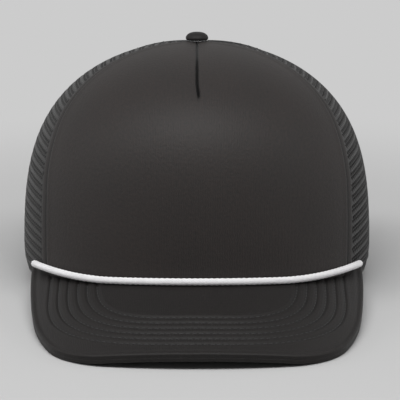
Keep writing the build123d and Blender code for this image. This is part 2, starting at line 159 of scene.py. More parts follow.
front_climb = Climb(crown_front, front_fullness)
side_climb = Climb(crown_side, side_fullness)
back_climb = Climb(crown_back, back_fullness)


class Ring:
    """One level round the crown, measured along the cloth from the middle of the front."""

    def __init__(self, rise, inset=0.0):
        self.angle = np.linspace(0, math.pi, 721)
        points = crown_point(self.angle, rise, inset) / mm
        steps = np.linalg.norm(np.diff(points, axis=0), axis=1)
        self.length = np.concatenate([[0], np.cumsum(steps)])

    def angle_at(self, length):
        return np.sign(length) * np.interp(np.abs(length), self.length, self.angle)

    def length_at(self, angle):
        return np.sign(angle) * np.interp(np.abs(angle), self.angle, self.length)


def edge_depth(height):
    """The depth of the front panel's edge at a height: a smooth curve through its points."""
    depths, heights = np.array(panel_edge).T
    slopes = np.gradient(depths, heights)
    place = np.clip(np.searchsorted(heights, height) - 1, 0, len(heights) - 2)
    span = heights[place + 1] - heights[place]
    share = np.clip((height - heights[place]) / span, 0, 1)
    start, end = depths[place], depths[place + 1]
    return (
        start * (1 + 2 * share) * (1 - share) ** 2
        + end * share**2 * (3 - 2 * share)
        + span * share * (1 - share) * (slopes[place] * (1 - share) - slopes[place + 1] * share)
    )


def edge_angle(rise):
    """The angle of the front panel's edge at a share of the crown's height."""
    depth = edge_depth(rise * crown_height)
    front = reach(crown_front, front_fullness, rise, 0.0)
    back = reach(crown_back, back_fullness, rise, 0.0)
    return np.arccos(np.clip(np.where(depth < 0, -depth / front, -depth / back), -1, 1))


def azimuth_angle(azimuth, rise):
    """The angle on the crown of an upright plane through its middle, at a share of its height."""
    side = reach(crown_side, side_fullness, rise, 0.0)
    along = reach(crown_front if azimuth < 90 else crown_back,
                  front_fullness if azimuth < 90 else back_fullness, rise, 0.0)
    turn = math.radians(azimuth)
    return np.arctan2(math.sin(turn) / side, math.cos(turn) / along)


def hem_height(angle):
    """The height of the hem, which rises towards the middle of the front."""
    depth = crown_front * np.cos(angle)
    return hem_rise * np.clip((depth - hem_rise_start) / (crown_front - hem_rise_start), 0, 1)


# Finishes --------------------------------


class Level:
    """A number that varies over a surface: arithmetic on it adds the nodes that work it out."""

    def __init__(self, finish, socket):
        self.finish = finish
        self.socket = socket

    def __add__(self, other):
        return self.finish.maths("ADD", self, other)

    def __radd__(self, other):
        return self.finish.maths("ADD", other, self)

    def __sub__(self, other):
        return self.finish.maths("SUBTRACT", self, other)

    def __rsub__(self, other):
        return self.finish.maths("SUBTRACT", other, self)

    def __mul__(self, other):
        return self.finish.maths("MULTIPLY", self, other)

    def __rmul__(self, other):
        return self.finish.maths("MULTIPLY", other, self)

    def __pow__(self, other):
        return self.finish.maths("POWER", self, other)


class Finish:
    """A material, and the few kinds of node that this cap's finishes are made of."""

    def __init__(self, name, roughness, **constants):
        self.material = bpy.data.materials.new(name)
        self.material.use_nodes = True
        self.tree = self.material.node_tree
        self.shader = self.tree.nodes["Principled BSDF"]
        self.shader.inputs["Roughness"].default_value = roughness
        for socket, value in constants.items():
            self.shader.inputs[socket.replace("_", " ")].default_value = value

    def node(self, kind, settings=(), inputs=()):
        node = self.tree.nodes.new(kind)
        for name, value in dict(settings).items():
            setattr(node, name, value)
        for name, value in dict(inputs).items():
            if isinstance(value, Level):
                self.tree.links.new(value.socket, node.inputs[name])
            else:
                node.inputs[name].default_value = value
        return node

    def maths(self, operation, *values):
        node = self.node("ShaderNodeMath", {"operation": operation}, enumerate(values))
        return Level(self, node.outputs[0])

    def coordinates(self, output="UV"):
        node = self.node("ShaderNodeTexCoord")
        return Level(self, node.outputs[output])

    def parts(self, vector):
        node = self.node("ShaderNodeSeparateXYZ", inputs={0: vector})
        return [Level(self, output) for output in node.outputs]

    def attribute(self, name):
        node = self.node("ShaderNodeAttribute", {"attribute_name": name})
        return Level(self, node.outputs["Fac"])

    def noise(self, vector, scale, detail=2.0):
        sockets = {"Vector": vector, "Scale": scale, "Detail": detail}
        node = self.node("ShaderNodeTexNoise", inputs=sockets)
        return Level(self, node.outputs["Fac"])

    def cells(self, vector, scale):
        node = self.node("ShaderNodeTexVoronoi", inputs={"Vector": vector, "Scale": scale})
        return Level(self, node.outputs["Distance"])

    def wave(self, value, pitch):
        """A smooth ridge and furrow, from 0 to 1, that repeats at the pitch in metres."""
        return self.maths("SINE", value * (2 * math.pi / pitch)) * 0.5 + 0.5

    def band(self, value, low, high):
        """1 where the value is over high, 0 under low, and smooth between."""
        node = self.node(
            "ShaderNodeMapRange",
            {"interpolation_type": "SMOOTHSTEP"},
            {"Value": value, "From Min": low, "From Max": high},
        )
        return Level(self, node.outputs["Result"])

    def blend(self, share, low, high):
        """A colour between two, by a share from 0 to 1."""
        node = self.node("ShaderNodeMix", {"data_type": "RGBA"}, {"Factor": share})
        for socket, colour in zip([s for s in node.inputs if s.type == "RGBA"], (low, high)):
            if isinstance(colour, Level):
                self.tree.links.new(colour.socket, socket)
            else:
                socket.default_value = (*colour, 1)
        return Level(self, [s for s in node.outputs if s.type == "RGBA"][0])

    def colour(self, value):
        self.tree.links.new(value.socket, self.shader.inputs["Base Color"])
        return self

    def roughness(self, value):
        self.tree.links.new(value.socket, self.shader.inputs["Roughness"])
        return self

    def relief(self, height, depth, strength=1.0):
        """Raises the surface by a height from 0 to 1, where 1 is the depth in metres."""
        node = self.node(
            "ShaderNodeBump", inputs={"Height": height, "Distance": depth, "Strength": strength}
        )
        self.tree.links.new(node.outputs["Normal"], self.shader.inputs["Normal"])
        return self


def grey(level, warmth=0.0):
    """A near-neutral colour, a little redder as the warmth goes up."""
    return (level * (1 + warmth), level, level * (1 - warmth * 0.3))


def knitted_cloth(name, level, warmth, shine):
    """Fine ribbed jersey: upright wales crossed by finer courses, with a soft sheen."""
    finish = Finish(name, 0.6, Sheen_Weight=0.03, Sheen_Roughness=0.4, Specular_IOR_Level=shine)
    place = finish.coordinates()
    across, along, _ = finish.parts(place)
    waver = finish.noise(place, 420.0, 3.0) * 0.0016
    wales = finish.wave(across + waver, 0.00085)
    courses = finish.wave(along + waver, 0.00062)
    fibres = finish.noise(place, 2600.0, 3.0)
    flecks = finish.noise(place, 620.0, 2.0)
    patches = finish.noise(place, 24.0, 3.0)
    tone = wales * 0.3 + courses * 0.1 + fibres * 0.4 + flecks * 1.6 + patches * 0.6 - 1.0
    cloth = finish.blend(tone, grey(level * 0.62, warmth * 0.6), grey(level * 1.42, warmth * 1.2))
    # Painted shade: the cloth turns near black in its grooves, on the sunken seam strip, along the dart and in the
    # quilted rows, as far as the attribute read here says.
    recess_shade_mask = finish.attribute("recess_shade")
    finish.colour(finish.blend(recess_shade_mask, cloth, grey(level * 0.06)))
    finish.relief(wales * 0.4 + courses * 0.1 + fibres * 0.3 + flecks * 1.1, 0.00013)
    return finish.material


def net_yarn():
    """Shiny textured yarn of the mesh."""
    finish = Finish("net_yarn", 0.5, Sheen_Weight=0.08, Sheen_Roughness=0.4, Specular_IOR_Level=0.5)
    place = finish.coordinates("Object")
    fibres = finish.noise(place, 2400.0, 3.0)
    patches = finish.noise(place, 60.0)
    finish.colour(finish.blend(fibres * 0.6 + patches * 0.4, grey(0.0045, 0.1), grey(0.0145, 0.1)))
    finish.relief(fibres, 0.0002)
    return finish.material


def woven_tape(name, level):
    """Twill: slanting ribs across the tape, with a plain selvedge."""
    finish = Finish(name, 0.85, Sheen_Weight=0.2, Sheen_Roughness=0.5, Specular_IOR_Level=0.25)
    place = finish.coordinates()
    across, along, _ = finish.parts(place)
    ribs = finish.wave(across + along, 0.0011)
    fibres = finish.noise(place, 1800.0, 3.0)
    finish.colour(finish.blend(ribs * 0.4 + fibres * 0.6, grey(level * 0.7), grey(level * 1.3)))
    finish.relief(ribs * 0.7 + fibres * 0.3, 0.00025)
    return finish.material


def open_foam():
    """Open-celled foam, seen inside the front of the crown."""
    finish = Finish("open_foam", 0.95, Specular_IOR_Level=0.15)
    place = finish.coordinates("Object")
    cells = finish.cells(place, 1400.0)
    patches = finish.noise(place, 40.0)
    finish.colour(finish.blend(cells * 0.8 + patches * 0.3, grey(0.03), grey(0.075)))
    finish.relief(cells, 0.0003)
    return finish.material


def rope_yarn():
    """Clean white spun yarn."""
    finish = Finish("rope_yarn", 0.75, Sheen_Weight=0.2, Sheen_Roughness=0.5)
    place = finish.coordinates("Object")
    fibres = finish.noise(place, 3000.0, 3.0)
    patches = finish.noise(place, 120.0)
    tone = fibres * 0.5 + patches * 0.5
    finish.colour(finish.blend(tone, (0.82, 0.81, 0.82), (0.97, 0.96, 0.97)))
    finish.relief(fibres, 0.00012)
    return finish.material


def moulded_plastic(name, level):
    """Matt moulded plastic with a fine grain and lightly rubbed high spots."""
    finish = Finish(name, 0.5, Specular_IOR_Level=0.45)
    place = finish.coordinates("Object")
    grain = finish.noise(place, 5200.0, 2.0)
    rubbed = finish.noise(place, 90.0, 4.0)
    finish.colour(finish.blend(rubbed * 0.8 + grain * 0.2, grey(level * 0.8), grey(level * 1.25)))
    finish.roughness(rubbed * 0.2 + 0.38)
    finish.relief(grain, 0.00004)
    return finish.material


def pressed_metal():
    """Pressed sheet, lightly brushed."""
    finish = Finish("pressed_metal", 0.35, Metallic=1.0)
    place = finish.coordinates("Object")
    marks = finish.noise(place, 700.0, 4.0)
    finish.colour(finish.blend(marks, (0.45, 0.45, 0.46), (0.68, 0.68, 0.7)))
    finish.roughness(marks * 0.3 + 0.25)
    return finish.material


def sewing_thread():
    finish = Finish("sewing_thread", 0.6, Sheen_Weight=0.2, Specular_IOR_Level=0.4)
    twist = finish.noise(finish.coordinates("Object"), 3000.0)
    finish.colour(finish.blend(twist, grey(0.014), grey(0.036)))
    return finish.material


front_cloth = knitted_cloth("front_cloth", 0.0092, 0.36, 0.4)
# The brim and the button take the front's knitted cloth painted darker and given less shine: painted shade for
# faces turned up to the overhead lamp.
brim_cloth = knitted_cloth("brim_cloth", 0.0062, 0.22, 0.29)
mesh_yarn = net_yarn()
tape_cloth = woven_tape("tape_cloth", 0.035)
band_cloth = woven_tape("band_cloth", 0.045)
foam_back = open_foam()
rope_cotton = rope_yarn()
strap_plastic = moulded_plastic("strap_plastic", 0.028)
board_plastic = moulded_plastic("board_plastic", 0.55)
button_metal = pressed_metal()
thread = sewing_thread()

# Ways of making a piece ------------------

crown_middle = Vector(to_frame(0.0, 0.0, crown_height / 2)[0])
thread_radius = 0.2


def place_piece(mesh, name, material):
    """Puts a finished mesh in the scene, with its finish."""
    piece = bpy.data.objects.new(name, mesh)
    bpy.context.scene.collection.objects.link(piece)
    mesh.materials.clear()
    mesh.materials.append(material)
    mesh.shade_smooth()
    return piece


def finish_piece(mesh, name, material, body="cap", slot=None, replaces=()):
    """Places a piece, hangs it on the body it rides on, and hides the parts of the model that it stands in for."""
    piece = place_piece(mesh, name, material)
    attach(piece, body)
    if replaces:
        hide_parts(*replaces)
    return piece


def mesh_from(shape, name):
    """Turns a finished bmesh into a mesh."""
    mesh = bpy.data.meshes.new(name)
    shape.to_mesh(mesh)
    shape.free()
    return mesh


def lay_grid(name, columns, rows, place):
    """A sheet of quads. For each row, place(row share, column shares) gives its points, its two
    lengths along the cloth and how much painted shade its recesses take."""
    sheet = bmesh.new()
    bmesh.ops.create_grid(sheet, x_segments=columns, y_segments=rows, size=0.5)
    mesh = mesh_from(sheet, name)
    count = len(mesh.vertices)
    flat = np.empty(count * 3)
    mesh.vertices.foreach_get("co", flat)
    shares = flat.reshape(-1, 3)[:, :2] + 0.5
    points = np.zeros((count, 3))
    cloth = np.zeros((count, 2))
    recess_shade = np.zeros(count)
    row_of = np.rint(shares[:, 1] * rows).astype(int)
    for row in range(rows + 1):
        those = row_of == row
        points[those], cloth[those], recess_shade[those] = place(row / rows, shares[those, 0])
    mesh.vertices.foreach_set("co", points.ravel())
    corners = np.empty(len(mesh.loops), dtype=int)
    mesh.loops.foreach_get("vertex_index", corners)
    mesh.uv_layers.new(name="UVMap").uv.foreach_set("vector", cloth[corners].ravel())
    mesh.attributes.new("recess_shade", "FLOAT", "POINT").data.foreach_set("value", recess_shade)
    mesh.update()
    return mesh


def face_outwards(mesh, centre):
    """Turns the faces of an open sheet away from a point."""
    if sum(face.normal.dot(face.center - centre) * face.area for face in mesh.polygons) < 0:
        mesh.flip_normals()
    return mesh


def thicken(piece, thickness, offset=-1.0):
    """Gives a sheet its thickness in millimetres, from its face inwards."""
    wall = piece.modifiers.new("thickness", "SOLIDIFY")
    wall.thickness = thickness * mm
    wall.offset = offset


def sew_sheet(name, columns, rows, place, material, thickness, inside=crown_middle, **placing):
    """A sheet of cloth or foam: its face turned away from a point inside, and its thickness."""
    mesh = face_outwards(lay_grid(name, columns, rows, place), inside)
    piece = finish_piece(mesh, name, material, **placing)
    thicken(piece, thickness)
    return piece


def columns_with_edges(half_length, centre_steps, edge_steps, between):
    """Distances from the middle of a sheet to one edge, close together at both."""
    squeeze = min(1.0, half_length / (centre_steps[-1] + edge_steps[0] + between * 0.3))
    centre_steps, edge_steps = np.array(centre_steps) * squeeze, np.array(edge_steps) * squeeze
    middle = np.linspace(centre_steps[-1], half_length - edge_steps[0], between + 2)[1:-1]
    out = np.concatenate([centre_steps, middle, half_length - edge_steps])
    return np.concatenate([-out[:0:-1], out])


def cloth_yarns(name, lines, radius, sides, material, **placing):
    """Yarns or stitches: a round bar, its radius in millimetres, along each line of points."""
    curve = bpy.data.curves.new(name, "CURVE")
    curve.dimensions = "3D"
    curve.bevel_depth = radius * mm
    curve.bevel_resolution = sides
    curve.use_fill_caps = True
    for line in lines:
        spline = curve.splines.new("POLY")
        spline.points.add(len(line) - 1)
        spline.points.foreach_set("co", np.column_stack([line, np.ones(len(line))]).ravel())
    holder = bpy.data.objects.new(name + "_curve", curve)
    mesh = bpy.data.meshes.new_from_object(holder)
    bpy.data.objects.remove(holder)
    bpy.data.curves.remove(curve)
    mesh.name = name
    finish_piece(mesh, name, material, **placing)


def stitches_along(points, normals, length, gap, sink):
    """Stitches that follow a line of points, each bowed a little off the cloth, in millimetres."""
    length, gap, sink = length * mm, gap * mm, sink * mm
    steps = np.linalg.norm(np.diff(points, axis=0), axis=1)
    distances = np.concatenate([[0], np.cumsum(steps)])
    lines = []
    for start in np.arange(0, distances[-1] - length, length + gap):
        here = np.linspace(start, start + length, 4)
        line, normal = (
            np.column_stack([np.interp(here, distances, values[:, axis]) for axis in range(3)])
            for values in (points, normals)
        )
        lines.append(line + normal * np.array([-sink, sink, sink, -sink])[:, None])
    return lines


def out_of_crown(points):
    """The way out of the crown at places on it, near enough for a stitch to lie on the cloth."""
    normals = points - np.array(crown_middle)
    return normals / np.linalg.norm(normals, axis=1)[:, None]


# Camera, light and floor -----------------

camera_aim = 34.46
camera_distance = 1500.0
camera_rise = math.radians(10.48)
camera_lens = 254.7
camera_sensor = 36.0
camera_shift = 0.0075
backdrop_level = 0.604
floor_level = 0.62
world_light = 0.16

# In metres in the frame: where the lamps point, and where the floor fades into the backdrop
light_aim = Vector((0, 0, 0.05))
floor_fade_start = 0.16
floor_fade_end = 0.42


def face_towards(holder, target):
    """Turns a camera or a lamp to a place."""
    holder.rotation_euler = (target - holder.location).to_track_quat("-Z", "Y").to_euler()


def set_camera():
    camera = bpy.data.cameras.new("camera")
    camera.lens = camera_lens
    camera.sensor_width = camera_sensor
    camera.shift_x = camera_shift
    camera.clip_end = 20.0
    holder = bpy.data.objects.new("camera", camera)
    bpy.context.scene.collection.objects.link(holder)
    back = -camera_distance * math.cos(camera_rise)
    up = camera_aim + camera_distance * math.sin(camera_rise)
    holder.location = Vector(to_frame(0.0, back, up)[0])
    face_towards(holder, Vector(to_frame(0.0, 0.0, camera_aim)[0]))
    bpy.context.scene.camera = holder


def add_light(name, place, width, depth, power):
    lamp = bpy.data.lights.new(name, "AREA")
    lamp.shape = "ELLIPSE"
    lamp.size = width
    lamp.size_y = depth
    lamp.energy = power
    holder = bpy.data.objects.new(name, lamp)
    bpy.context.scene.collection.objects.link(holder)
    holder.location = place
    face_towards(holder, light_aim)


def seen_directly(tree):
    """1 for what the camera sees straight, in a mirror or through glass, else 0."""
    path = tree.nodes.new("ShaderNodeLightPath")
    total = path.outputs["Is Camera Ray"]
    for ray in ("Is Glossy Ray", "Is Transmission Ray"):
        either = tree.nodes.new("ShaderNodeMath")
        either.operation = "MAXIMUM"
        tree.links.new(total, either.inputs[0])
        tree.links.new(path.outputs[ray], either.inputs[1])
        total = either.outputs[0]
    return total


def set_world():
    world = bpy.data.worlds.new("studio")
    bpy.context.scene.world = world
    world.use_nodes = True
    tree = world.node_tree
    background = tree.nodes["Background"]
    background.inputs["Color"].default_value = (1, 1, 1, 1)
    strength = tree.nodes.new("ShaderNodeMapRange")
    strength.inputs["To Min"].default_value = world_light
    strength.inputs["To Max"].default_value = backdrop_level
    tree.links.new(seen_directly(tree), strength.inputs["Value"])
    tree.links.new(strength.outputs["Result"], background.inputs["Strength"])


def floor_paint():
    """Pale paint that keeps the cap's shadow, and turns into the plain backdrop further out."""
    finish = Finish("floor_paint", 0.95, Specular_IOR_Level=0.0)
    finish.shader.inputs["Base Color"].default_value = (*grey(floor_level), 1)
    across, along, _ = finish.parts(finish.coordinates("Object"))
    from_middle = (across * across + along * along) ** 0.5
    far_out = finish.band(from_middle, floor_fade_start, floor_fade_end)
    plain = finish.node("ShaderNodeEmission", inputs={"Color": (*grey(backdrop_level), 1)})
    mixed = finish.node("ShaderNodeMixShader", inputs={
        "Fac": far_out * Level(finish, seen_directly(finish.tree)),
    })
    output = finish.tree.nodes["Material Output"]
    finish.tree.links.new(finish.shader.outputs["BSDF"], mixed.inputs[1])
    finish.tree.links.new(plain.outputs["Emission"], mixed.inputs[2])
    finish.tree.links.new(mixed.outputs["Shader"], output.inputs["Surface"])
    return finish.material


def set_studio():
    bpy.context.scene.view_settings.view_transform = "Standard"
    set_world()
    ground = bmesh.new()
    bmesh.ops.create_grid(ground, x_segments=1, y_segments=1, size=6.0)
    floor = place_piece(mesh_from(ground, "floor"), "floor", floor_paint())
    add_light("overhead", (-0.1, -0.8, 1.5), width=2.6, depth=0.6, power=27.0)
    add_light("side_left", (-1.6, -0.2, 0.7), width=0.9, depth=0.9, power=4.0)
    add_light("side_right", (1.6, -0.2, 0.7), width=0.9, depth=0.9, power=3.0)


# Crown -----------------------------------

seam_strip = 6.0
face_thickness = 1.0
foam_inset = 1.1
foam_thickness = 2.9
centre_steps = [0.0, 0.2, 0.4, 0.65, 1.0, 1.5, 2.4, 4.0]
edge_steps = [9.5, 8.4, 7.6, 7.0, 6.6, 6.3, 6.05, 5.8, 5.5, 4.9, 4.0, 2.8, 1.5, 0.6, 0.0]


def dart_place(height):
    """How far the dart's seam wanders from the middle, and how deep it is, at a height."""
    wander = 0.9 * smooth(107, dart_end_height - 1, height)
    return wander, smooth(dart_end_height - 2, dart_end_height + 2, height)


def front_row(inner, columns):
    """One row of the front panel's face, or of the foam behind it, from edge to edge."""

    def place(row, column_shares):
        low = front_climb.length_at(0.0)
        high = front_climb.length[-1]
        rise = front_climb.rise_at(low + (high - low) * row)
        ring = Ring(rise)
        half = ring.length_at(edge_angle(rise))
        between = columns // 2 - len(centre_steps) - len(edge_steps) + 1
        distance = columns_with_edges(half, centre_steps, edge_steps, between)
        distance = distance[np.rint(column_shares * columns).astype(int)]
        angle = ring.angle_at(distance)
        hem = hem_height(angle)
        lifted = rise + (1 - rise) * hem / crown_height
        from_edge = half - np.abs(distance)
        height = rise * crown_height
        inset = inner + 0 * distance
        recess_shade = 0 * distance
        wander, depth = dart_place(height)
        off = distance - wander
        if inner == 0.0:
            strip = np.clip(from_edge / seam_strip, 0, 1)
            on_strip = 0.75 - 0.5 * np.sin(math.pi * strip) ** 0.6
            past = np.clip(from_edge - seam_strip, 0, None)
            rolled = 0.85 * np.exp(-((past / 0.7) ** 1.3))
            inset = np.where(from_edge < seam_strip, on_strip, rolled)
            inset = inset - 0.25 * hump(past - 2.2, 1.6) * (from_edge > seam_strip)
            # Painted shade: dark in the groove beside the seam, a little darker on the sunken seam strip, and dark
            # along the dart's groove.
            recess_shade = 0.95 * hump(from_edge - seam_strip + 0.4, 0.65)
            recess_shade = np.maximum(recess_shade, 0.3 * (from_edge < seam_strip))
            recess_shade = np.maximum(recess_shade, depth**0.5 * np.minimum(1.4 * hump(off, 0.7), 1))
        groove = dart_groove * (1 - 0.7 * smooth(crown_height - 9, crown_height - 3, height))
        inset = inset + depth * (groove * hump(off, 0.55) + 0.5 * hump(off, 3.5))
        points = crown_point(angle, lifted, inset)
        along = low + (high - low) * row
        return points, np.column_stack([distance, along + 0 * distance]) * mm, recess_shade

    return place


def make_front():
    """The knitted face, and the foam that is bonded to its back."""
    columns = 130
    sew_sheet("front_face", columns, 120, front_row(0.0, columns), front_cloth, face_thickness,
              slot="cloth", replaces=["front_face"])
    columns = 70
    foam = sew_sheet("front_foam", columns, 40, front_row(foam_inset, columns), foam_back,
                     foam_thickness, slot="foam", replaces=["front_foam"])


cell_width = 2.4
cell_height = 2.7
yarn_half_width = 0.5
hole_height_share = 0.74
hole_shift = 0.45
hole_sink = 0.2
least_hole = 4.0
greatest_sliver = 0.4
rib_dip = 0.0025
mesh_sink = 0.8
mesh_thickness = 0.9

# The angle by which the side panels go in under the front panel's edge, in radians
under_front = 0.004


def back_panel_edge(rise):
    """The angle where the back panels end: at the binding of the arch, or at the back seam."""
    height = rise * crown_height
    opening = arch_height + binding_width - 3
    if height >= opening:
        return math.pi
    across = (arch_half_width + binding_width - 3) * math.sqrt(1 - (height / opening) ** 2)
    side = reach(crown_side, side_fullness, rise, 0.0)
    return math.pi - math.asin(min(1.0, across / side))


class NetPanel:
    """Where the ribs of a panel of net run: level at its middle, dipping towards its seams."""

    step = 0.5

    def __init__(self, low_edge, high_edge, climb, middle_azimuth):
        self.climb = climb
        rises = climb.rise_at(np.arange(0, climb.length[-1], self.step))
        self.rings = [Ring(rise, mesh_sink) for rise in rises]
        self.low, self.high, self.middle = (
            np.array([float(ring.length_at(edge(rise))) for ring, rise in zip(self.rings, rises)])
            for edge in (low_edge, high_edge, lambda rise: azimuth_angle(middle_azimuth, rise))
        )
        self.rows = int(climb.length[-1] / cell_height)
        widest = max((self.middle - self.low).max(), (self.high - self.middle).max())
        self.half_columns = int(widest / (cell_width / 2)) + 3

    def level(self, length):
        return np.clip(np.rint(length / self.step).astype(int), 0, len(self.rings) - 1)

    def lay(self, columns, rows):
        """The angle and the share of the height of each knot, and whether the panel reaches it."""
        base = rows * cell_height
        here = self.level(base)
        across = np.clip(columns * cell_width / 2, (self.low - self.middle)[here],
                         (self.high - self.middle)[here])
        length = base - rib_dip * across**2
        there = self.level(length)
        along = self.middle[there] + columns * cell_width / 2
        within = (length > 0) & (self.low[there] < along) & (along < self.high[there])
        along = np.clip(along, self.low[there], self.high[there])
        angles = np.array([self.rings[ring].angle_at(place) for ring, place in zip(there, along)])
        return angles, self.climb.rise_at(np.clip(length, 0, None)), within


def net_panel(node, side, panel):
    """A panel of knitted net, cut at its seams: wide ribs, and between them two staggered rows of
    holes parted by a thin one."""
    net = bmesh.new()
    bmesh.ops.create_grid(net, x_segments=2 * panel.half_columns, y_segments=panel.rows, size=0.5)
    row_of = net.faces.layers.int.new("row")
    columns = np.array([round((v.co.x + 0.5) * 2 * panel.half_columns) for v in net.verts])
    columns -= panel.half_columns
    rows = np.array([round((v.co.y + 0.5) * panel.rows) for v in net.verts])
    angles, rises, within = panel.lay(columns, rows)
    pairs = {}
    for face in net.faces:
        column = min(columns[v.index] for v in face.verts)
        row = min(rows[v.index] for v in face.verts)
        face[row_of] = row
        pairs.setdefault((row, (column + row) // 2), []).append(face)
    outside, seams = [], []
    for faces in pairs.values():
        if not any(within[v.index] for face in faces for v in face.verts):
            outside += faces
        elif len(faces) == 2:
            seams += [edge for edge in faces[0].edges if edge in faces[1].edges[:]]
    angles *= side
    lifted = rises + (1 - rises) * hem_height(angles) / crown_height
    for vert, place in zip(net.verts, crown_point(angles, lifted, mesh_sink)):
        vert.co = place
    bmesh.ops.delete(net, geom=outside, context="FACES")
    bmesh.ops.dissolve_edges(net, edges=seams, use_verts=False)
    slivers = [face for face in net.faces if face.calc_area() < greatest_sliver * mm * mm]
    bmesh.ops.delete(net, geom=slivers, context="FACES")
    holes = [face for face in net.faces if face.calc_area() > least_hole * mm * mm]
    bmesh.ops.inset_individual(net, faces=holes, thickness=yarn_half_width * mm, depth=0.0)
    for hole in holes:
        up = head_up - hole.normal * head_up.dot(hole.normal)
        up.normalize()
        centre = hole.calc_center_median()
        shift = hole_shift if hole[row_of] % 2 else -hole_shift
        for vert in hole.verts:
            lower = (vert.co - centre).dot(up) * (1 - hole_height_share)
            vert.co += up * (shift * mm - lower) - hole.normal * (hole_sink * mm)
    bmesh.ops.delete(net, geom=holes, context="FACES_ONLY")
    mesh = face_outwards(mesh_from(net, node), crown_middle)
    piece = finish_piece(mesh, node, mesh_yarn, slot="mesh", replaces=[node])
    thicken(piece, mesh_thickness)


def side_seam(rise):
    """The angle of the seam between a side panel and a back panel."""
    return azimuth_angle(side_seam_angle, rise)


def back_middle(rise):
    """The angle of the seam down the middle of the back, the same at every height."""
    return math.pi


def make_net():
    """The four panels of mesh."""
    side_panel = NetPanel(lambda rise: edge_angle(rise) - under_front, side_seam, side_climb,
                          middle_azimuth=92.0)
    back_panel = NetPanel(side_seam, back_panel_edge, back_climb, middle_azimuth=150.0)
    for name, side in (("left", 1), ("right", -1)):
        net_panel(f"side_mesh_{name}", side, side_panel)
        net_panel(f"back_mesh_{name}", side, back_panel)


tape_width = 12.0
tape_thickness = 0.5
front_tape_inset = 4.12
side_tape_inset = 1.75
over_arch = float(back_climb.length_at(arch_height + binding_width - 1))


def tape_row(edge, inset, start, climb, side):
    """One row across a tape that climbs the inside of the crown along an edge."""

    def place(row, column_shares):
        length = start + (climb.length[-1] - start) * row
        rise = climb.rise_at(length)
        ring = Ring(rise)
        across = (column_shares - 0.5) * tape_width
        angle = ring.angle_at(ring.length_at(edge(rise)) + across) * side
        points = crown_point(angle, rise + 0 * angle, inset + 0 * angle)
        return points, np.column_stack([across, length + 0 * across]) * mm, 0 * across

    return place


def mirrored_back(row_place):
    """Lets a row run past the middle of the back, where the ring's own angles end."""

    def place(row, column_shares):
        near, cloth, recess_shade = row_place(row, np.minimum(column_shares, 0.5))
        far, _, _ = row_place(row, 1 - np.maximum(column_shares, 0.5))
        far[:, 0] = -far[:, 0]
        past = (column_shares > 0.5)[:, None]
        cloth[:, 0] = (column_shares - 0.5) * tape_width * mm
        return np.where(past, far, near), cloth, recess_shade

    return place


def join_meshes(name, meshes):
    """One mesh out of several."""
    whole = bmesh.new()
    for mesh in meshes:
        whole.from_mesh(mesh)
        bpy.data.meshes.remove(mesh)
    return mesh_from(whole, name)


def make_tape(name, mesh):
    tape = finish_piece(mesh, name, tape_cloth, slot="tape", replaces=[name])
    thicken(tape, tape_thickness)


def make_tapes():
    """The tapes inside, over the seams."""
    halves = []
    for side in (1, -1):
        row = tape_row(edge_angle, front_tape_inset, 3, side_climb, side)
        halves.append(face_outwards(lay_grid("half_tape", 8, 60, row), crown_middle))
    make_tape("front_seam_tape", join_meshes("front_seam_tape", halves))
    for name, side in (("left", 1), ("right", -1)):
        node = f"side_seam_tape_{name}"
        row = tape_row(side_seam, side_tape_inset, 2, back_climb, side)
        make_tape(node, face_outwards(lay_grid(node, 8, 60, row), crown_middle))
    row = mirrored_back(tape_row(back_middle, side_tape_inset, over_arch, back_climb, 1))
    make_tape("back_seam_tape", face_outwards(lay_grid("back_seam_tape", 8, 30, row), crown_middle))


button_sink = 0.3
button_profile = [(0.0, 4.6), (1.6, 4.55), (3.0, 4.35), (4.3, 3.85), (5.3, 3.05), (5.9, 2.1),
                  (6.0, 1.3), (5.7, 0.6), (5.1, 0.1), (4.4, -0.2)]


def make_button():
    """The covered button: a squat dome, drawn in under its rim."""
    dome = bmesh.new()
    start = [
        dome.verts.new(to_frame(out, 0.0, crown_height - button_sink + up)[0])
        for out, up in button_profile
    ]
    edges = [dome.edges.new(pair) for pair in zip(start, start[1:])]
    centre = Vector(to_frame(0.0, 0.0, crown_height)[0])
    bmesh.ops.spin(dome, geom=start + edges, cent=centre, axis=head_up, angle=2 * math.pi,
                   steps=48, use_merge=True)
    bmesh.ops.remove_doubles(dome, verts=dome.verts, dist=1e-6)
    bmesh.ops.holes_fill(dome, edges=dome.edges)
    bmesh.ops.recalc_face_normals(dome, faces=dome.faces)
    layer = dome.loops.layers.uv.new("UVMap")
    for face in dome.faces:
        for loop in face.loops:
            off = loop.vert.co - centre
            loop[layer].uv = (off.x, off.dot(head_back))
    # The button's cloth is the brim's, painted darker as shade.
    button = finish_piece(mesh_from(dome, "button_cover"), "button_cover", brim_cloth,
                          slot="cloth", replaces=["button_cover"])
    rounding = button.modifiers.new("rounding", "SUBSURF")
    rounding.levels = rounding.render_levels = 1


# Sweatband, binding and hem --------------

band_profile = [(1.2, 2.0), (0.3, 2.4), (-0.2, 3.4), (-0.3, 4.8), (0.1, 6.0), (1.2, 6.7),
                (3.0, 6.9), (10.0, 6.95), (20.0, 6.95), (29.0, 6.95), (31.6, 6.8), (32.8, 6.3)]
band_thickness = 1.1
band_radius = 88


